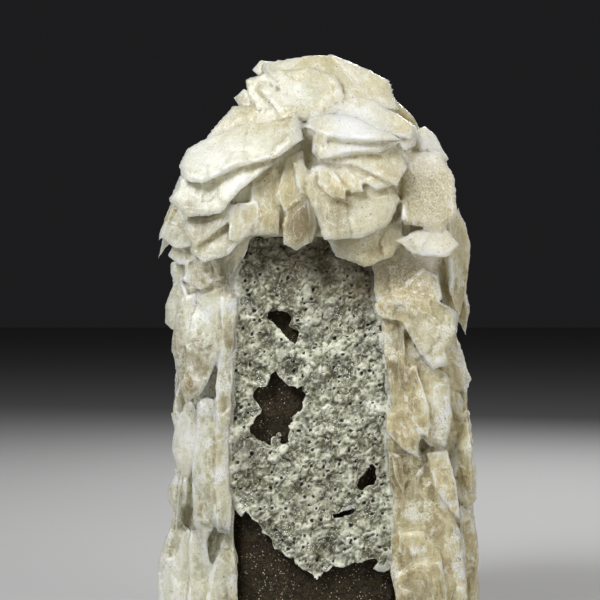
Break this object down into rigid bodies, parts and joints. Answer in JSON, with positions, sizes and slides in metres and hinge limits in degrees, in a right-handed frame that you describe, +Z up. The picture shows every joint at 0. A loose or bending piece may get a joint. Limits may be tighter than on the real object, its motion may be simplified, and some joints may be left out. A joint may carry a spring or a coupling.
{
  "type": "quartz crystal specimen",
  "caption": "Mineral specimen: dark stone pillar with a grey porous crust on its front, its other sides and top coated by overlapping milky bladed crystals, cut flat at the foot",
  "frame": {"origin": "middle of the specimen's box in X and Y, on the level break at its foot", "axes": "+Z up along the pillar, -Y out of the window in the crystals, +X to the right as seen from the front"},
  "size_m": [0.0514, 0.0348, 0.0917],
  "materials": {
    "dark_stone": "rough broken stone with small glints",
    "grey_crust": "granular and porous, matte",
    "milky_quartz": "milky, with smooth faces and grainy recesses"
  },
  "bodies": {
    "root": {"stone_core": "dark_stone", "grey_crust": "grey_crust", "crystal_growth": "milky_quartz"}
  },
  "joints": []
}
